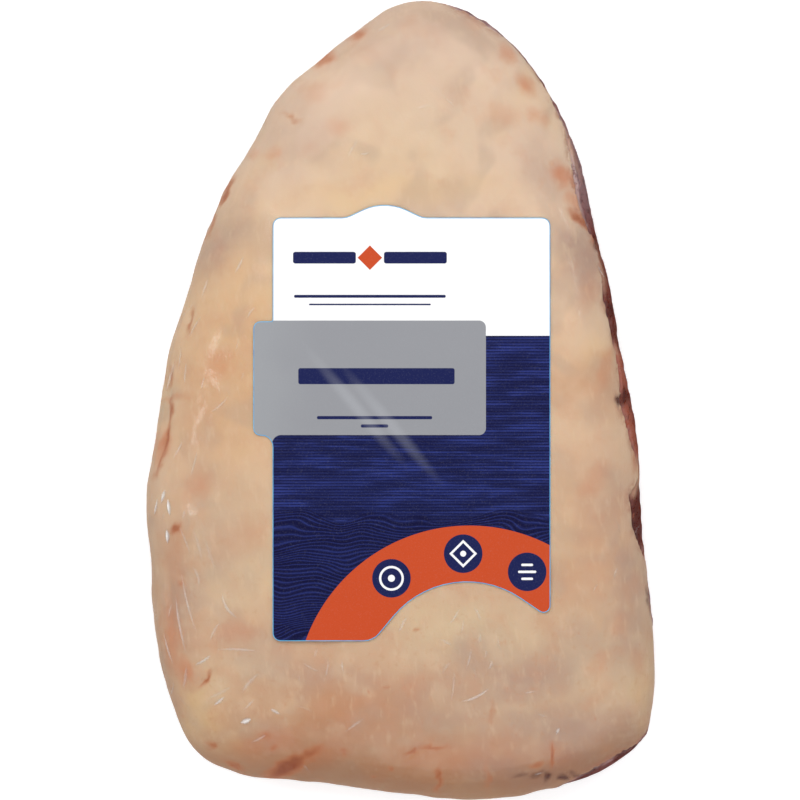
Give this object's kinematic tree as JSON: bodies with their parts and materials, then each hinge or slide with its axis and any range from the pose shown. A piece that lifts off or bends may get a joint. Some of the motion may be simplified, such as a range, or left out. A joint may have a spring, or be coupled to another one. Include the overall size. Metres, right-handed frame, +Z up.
{
  "type": "raw picanha",
  "caption": "Raw beef rump cap, a rounded triangle of lean under a thick cap of fat, shrunk tight in clear film with a die-cut label on its fat side.",
  "frame": {"origin": "middle of the bounding box's underside, on the surface that the cut rests on", "axes": "+X to the right as the label is read, +Y from the thick base end to the thin tip, +Z up out of the fat side"},
  "size_m": [0.1914, 0.2999, 0.0445],
  "materials": {
    "fat": "cream to tan beef fat, moist, seen through tight clear film",
    "lean": "dark red-brown raw beef, moist, seen through tight clear film",
    "label_print": "satin printed paper label in white, navy, grey and orange",
    "film": "clear glossy shrink film with fine creases"
  },
  "bodies": {
    "root": {"lean_meat": "lean", "fat_cap": "fat", "label": "label_print"}
  },
  "joints": []
}
